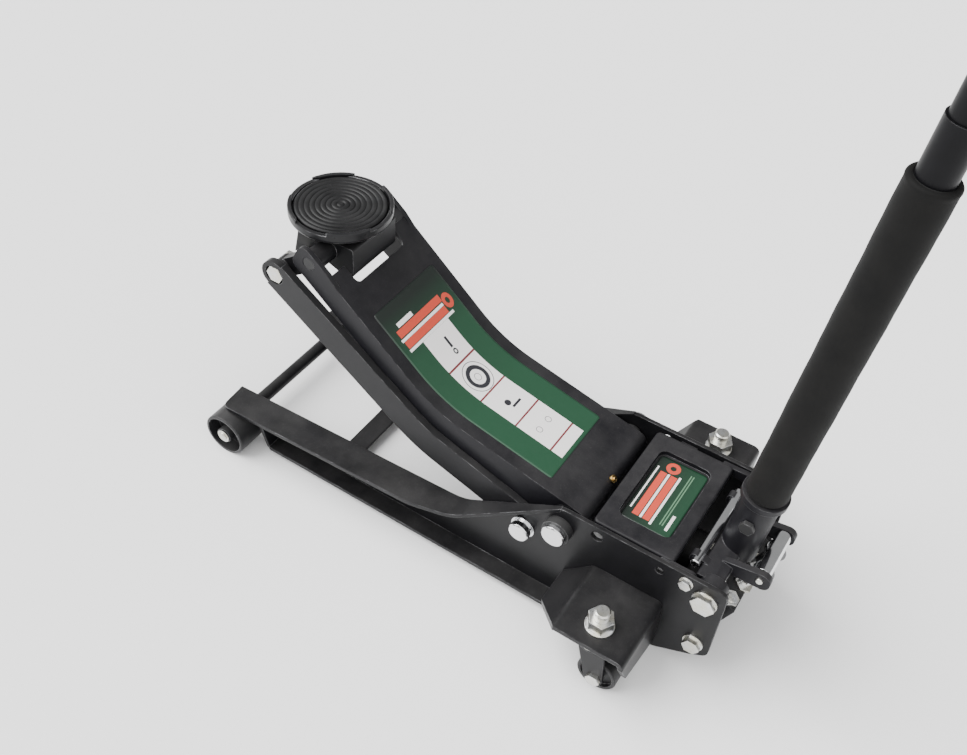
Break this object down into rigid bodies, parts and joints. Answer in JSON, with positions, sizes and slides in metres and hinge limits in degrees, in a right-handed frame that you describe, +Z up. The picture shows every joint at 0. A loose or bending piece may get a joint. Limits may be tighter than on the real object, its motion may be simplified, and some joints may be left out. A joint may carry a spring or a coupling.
{
  "type": "hydraulic floor jack",
  "caption": "Low-profile trolley jack: pumped handle, hydraulic ram, parallel-link lift arm with swivel rubber saddle, steel front wheels and rear casters.",
  "frame": {"origin": "on the floor, under the middle of the jack's overall length and width", "axes": "+Z up, +X from the saddle end towards the handle, near side -Y"},
  "size_m": [0.7824, 0.37, 1.2765],
  "materials": {
    "frame_paint": "satin black powder coat",
    "arm_paint": "satin black powder coat",
    "saddle_iron": "black painted casting",
    "saddle_rubber": "matte ringed rubber",
    "handle_paint": "satin black",
    "foam": "matte closed-cell foam",
    "grip_rubber": "matte ribbed rubber",
    "zinc": "bright zinc plate",
    "chrome": "polished",
    "shaft_steel": "black oxide",
    "block_iron": "black enamel on machined casting",
    "brass": "plain",
    "wheel_steel": "black enamel, worn on the tread"
  },
  "bodies": {
    "chassis": {"side_frame_left": "frame_paint", "side_frame_right": "frame_paint", "caster_bracket_left": "frame_paint", "caster_bracket_right": "frame_paint", "caster_studs": "zinc", "caster_nuts": "zinc", "caster_races": "zinc", "wheel_spindles": "zinc", "spindle_clips": "zinc", "front_cross_rod": "frame_paint", "front_cross_bar": "frame_paint", "main_shaft": "shaft_steel", "main_shaft_caps": "chrome", "link_pivot_bolts": "chrome", "pump_block": "block_iron", "hydraulic_barrel": "block_iron", "filler_plug": "zinc", "relief_plug": "zinc", "plunger_glands": "zinc", "block_bolts": "zinc", "pump_cover": "arm_paint", "cover_bolts": "zinc", "handle_pivot_bolts": "zinc"},
    "lift_arm": {"lift_arm": "arm_paint", "arm_pivot_tube": "arm_paint", "grease_nipple": "brass", "arm_lever": "arm_paint", "lift_pin": "zinc", "arm_pin": "zinc"},
    "links": {"parallel_link_left": "arm_paint", "parallel_link_right": "arm_paint"},
    "saddle_bracket": {"saddle_bracket": "arm_paint", "link_pins": "zinc", "link_pin_nuts": "zinc", "saddle_screw": "zinc"},
    "saddle": {"saddle_cup": "saddle_iron", "saddle_pad": "saddle_rubber"},
    "ram": {"ram_rod": "chrome", "ram_head": "block_iron"},
    "handle_yoke": {"handle_yoke": "arm_paint", "handle_screw": "zinc", "yoke_cross_shaft": "chrome", "roller_pin": "zinc"},
    "yoke_roller": {"yoke_roller": "chrome"},
    "handle": {"lower_tube": "handle_paint", "upper_tube": "handle_paint", "foam_sleeve": "foam", "hand_grip": "grip_rubber"},
    "snap_button": {"snap_button": "zinc"},
    "release_valve": {"release_valve": "zinc"},
    "plungers": {"plungers": "chrome", "plunger_heads": "chrome"},
    "front_wheel_left": {"front_wheel_left": "wheel_steel"},
    "front_wheel_right": {"front_wheel_right": "wheel_steel"},
    "caster_swivel_left": {"caster_fork_left": "zinc", "caster_axle_left": "zinc"},
    "caster_swivel_right": {"caster_fork_right": "zinc", "caster_axle_right": "zinc"},
    "caster_wheel_left": {"caster_wheel_left": "wheel_steel"},
    "caster_wheel_right": {"caster_wheel_right": "wheel_steel"}
  },
  "joints": [
    {"name": "arm_lift", "type": "hinge", "parent": "chassis", "child": "lift_arm", "pos_m": [0.10084, 0, 0.1335], "axis": [0, 1, 0], "range_deg": [-38, 28]},
    {"name": "link_swing", "type": "hinge", "parent": "chassis", "child": "links", "pos_m": [0.05684, 0, 0.1025], "axis": [0, 1, 0], "range_deg": [-38, 28]},
    {"name": "saddle_level", "type": "hinge", "parent": "lift_arm", "child": "saddle_bracket", "pos_m": [-0.25554, 0, 0.32379], "axis": [0, 1, 0], "range_deg": [-28, 38]},
    {"name": "saddle_swivel", "type": "hinge", "parent": "saddle_bracket", "child": "saddle", "pos_m": [-0.26674, 0, 0.33979], "axis": [0, 0, 1], "continuous": true},
    {"name": "ram_slide", "type": "slide", "parent": "chassis", "child": "ram", "axis": [-1, 0, 0], "range_m": [-0.0325, 0.0235]},
    {"name": "handle_pump", "type": "hinge", "parent": "chassis", "child": "handle_yoke", "pos_m": [0.27734, 0, 0.139], "axis": [0, 1, 0], "range_deg": [0, 45], "stiffness_Nm_per_rad": 14, "springref_deg": -20.05},
    {"name": "roller_spin", "type": "hinge", "parent": "handle_yoke", "child": "yoke_roller", "pos_m": [0.31584, 0, 0.15], "axis": [0, 1, 0], "continuous": true},
    {"name": "handle_twist", "type": "hinge", "parent": "handle_yoke", "child": "handle", "pos_m": [0.27734, 0, 0.139], "axis": [0.0837, 0, 0.9965], "range_deg": [0, 180]},
    {"name": "button_press", "type": "slide", "parent": "handle", "child": "snap_button", "axis": [0, -1, 0], "range_m": [0, 0.0045], "stiffness_N_per_m": 500},
    {"name": "release_turn", "type": "hinge", "parent": "chassis", "child": "release_valve", "pos_m": [0.25284, 0, 0.08], "axis": [0, 0, 1], "range_deg": [0, 180]},
    {"name": "plunger_stroke", "type": "slide", "parent": "chassis", "child": "plungers", "axis": [-0.4226, 0, -0.9063], "range_m": [0, 0.0295]},
    {"name": "front_wheel_left_spin", "type": "hinge", "parent": "chassis", "child": "front_wheel_left", "pos_m": [-0.36116, -0.1185, 0.03], "axis": [0, 1, 0], "continuous": true},
    {"name": "front_wheel_right_spin", "type": "hinge", "parent": "chassis", "child": "front_wheel_right", "pos_m": [-0.36116, 0.1185, 0.03], "axis": [0, 1, 0], "continuous": true},
    {"name": "caster_left_swivel", "type": "hinge", "parent": "chassis", "child": "caster_swivel_left", "pos_m": [0.19184, -0.155, 0.08], "axis": [0, 0, 1], "continuous": true},
    {"name": "caster_right_swivel", "type": "hinge", "parent": "chassis", "child": "caster_swivel_right", "pos_m": [0.19184, 0.155, 0.08], "axis": [0, 0, 1], "continuous": true},
    {"name": "caster_left_roll", "type": "hinge", "parent": "caster_swivel_left", "child": "caster_wheel_left", "pos_m": [0.20384, -0.155, 0.024], "axis": [0, 1, 0], "continuous": true},
    {"name": "caster_right_roll", "type": "hinge", "parent": "caster_swivel_right", "child": "caster_wheel_right", "pos_m": [0.20384, 0.155, 0.024], "axis": [0, 1, 0], "continuous": true}
  ],
  "couplings": [
    {"joint": "link_swing", "follows": "arm_lift", "ratio": 1},
    {"joint": "saddle_level", "follows": "arm_lift", "ratio": -1},
    {"joint": "ram_slide", "follows": "arm_lift", "m_per_rad": 0.0472},
    {"joint": "plunger_stroke", "follows": "handle_pump", "m_per_rad": 0.0371},
    {"joint": "release_turn", "follows": "handle_twist", "ratio": 1}
  ]
}
